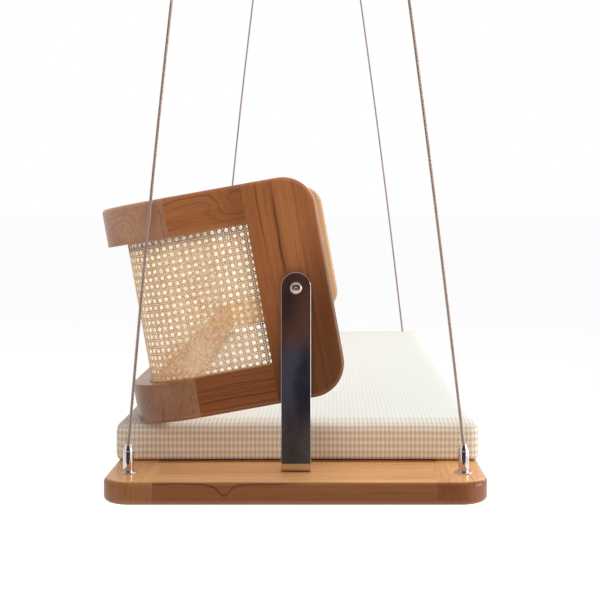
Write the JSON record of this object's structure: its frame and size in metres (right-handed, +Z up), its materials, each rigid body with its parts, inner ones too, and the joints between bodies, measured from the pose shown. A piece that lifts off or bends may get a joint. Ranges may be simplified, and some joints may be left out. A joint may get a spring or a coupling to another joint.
{
  "type": "indoor swing seat",
  "caption": "Ceiling-hung timber swing seat on wire ropes, with a fitted cushion and a low wraparound timber and cane backrest that swings over to either long side.",
  "frame": {"origin": "centre of the four ceiling studs, at the ceiling face", "axes": "+Z up along the studs, +Y along the seat towards its left end as seated, +X to the front, the way a sitter faces"},
  "size_m": [0.6902, 1.8, 1.293],
  "materials": {
    "hanger_steel": "brushed",
    "pin_steel": "bright",
    "wire_rope": "stranded wire",
    "eye_steel": "polished",
    "ferrule_chrome": "polished",
    "nut_steel": "zinc plated",
    "seat_wood": "clear satin lacquer",
    "seat_panel": "plywood",
    "dowel_wood": "plain",
    "cushion_fabric": "small houndstooth check",
    "arm_steel": "polished flat bar",
    "bolt_steel": "polished",
    "bush_steel": "turned",
    "backrest_wood": "clear satin lacquer",
    "corner_wood": "clear satin lacquer",
    "cane": "woven cane webbing",
    "reed": "plain reed"
  },
  "bodies": {
    "hangers": {"hanger_back_left": "hanger_steel", "hanger_back_right": "hanger_steel", "hanger_front_left": "hanger_steel", "hanger_front_right": "hanger_steel", "hanger_pins": "pin_steel", "pin_rings": "pin_steel"},
    "back_ropes": {"rope_back_left": "wire_rope", "rope_back_right": "wire_rope", "rope_eye_back_left": "eye_steel", "rope_eye_back_right": "eye_steel"},
    "front_ropes": {"rope_eye_front_left": "eye_steel", "rope_eye_front_right": "eye_steel", "rope_front_left": "wire_rope", "rope_front_right": "wire_rope"},
    "backrest": {"backrest_corner_bottom_left": "corner_wood", "backrest_corner_bottom_right": "corner_wood", "backrest_corner_top_left": "corner_wood", "backrest_corner_top_right": "corner_wood", "backrest_post_left": "backrest_wood", "backrest_post_right": "backrest_wood", "backrest_rail_bottom": "backrest_wood", "backrest_rail_top": "backrest_wood", "backrest_side_bottom_left": "backrest_wood", "backrest_side_bottom_right": "backrest_wood", "backrest_side_top_left": "backrest_wood", "backrest_side_top_right": "backrest_wood", "cane_sheet": "cane", "cane_spline_bottom": "reed", "cane_spline_top": "reed", "pivot_bolt_left": "bolt_steel", "pivot_bolt_right": "bolt_steel", "pivot_inserts": "nut_steel", "pivot_washers": "bush_steel", "rail_dowels": "dowel_wood"},
    "seat": {"arm_left": "arm_steel", "arm_right": "arm_steel", "arm_screws": "nut_steel", "deck_screws": "nut_steel", "ferrule_back_left": "ferrule_chrome", "ferrule_back_right": "ferrule_chrome", "ferrule_front_left": "ferrule_chrome", "ferrule_front_right": "ferrule_chrome", "pivot_bushes": "bush_steel", "rope_nuts": "nut_steel", "rope_washers_top": "ferrule_chrome", "rope_washers_underside": "nut_steel", "seat_brace_1": "seat_wood", "seat_brace_2": "seat_wood", "seat_brace_3": "seat_wood", "seat_cushion": "cushion_fabric", "seat_deck": "seat_panel", "seat_dowels": "dowel_wood", "seat_end_left": "seat_wood", "seat_end_right": "seat_wood", "seat_rail_back": "seat_wood", "seat_rail_front": "seat_wood"}
  },
  "joints": [
    {"name": "swing", "type": "hinge", "parent": "hangers", "child": "back_ropes", "pos_m": [-0.16205, 0, -0.038], "axis": [0, -1, 0], "range_deg": [-10, 10]},
    {"name": "seat_tilt", "type": "hinge", "parent": "back_ropes", "child": "seat", "pos_m": [-0.2792, 0, -1.175], "axis": [0, -1, 0], "range_deg": [-5.6, 5.6]},
    {"name": "front_rope_swing", "type": "hinge", "parent": "seat", "child": "front_ropes", "pos_m": [0.3048, 0, -1.175], "axis": [0, -1, 0], "range_deg": [-5.6, 5.6]},
    {"name": "backrest_turn", "type": "hinge", "parent": "seat", "child": "backrest", "pos_m": [0.0128, 0, -0.902], "axis": [0, 1, 0], "range_deg": [0, 200.4]}
  ],
  "couplings": [
    {"joint": "seat_tilt", "follows": "swing", "ratio": -0.55491},
    {"joint": "front_rope_swing", "follows": "swing", "ratio": 0.55491}
  ]
}
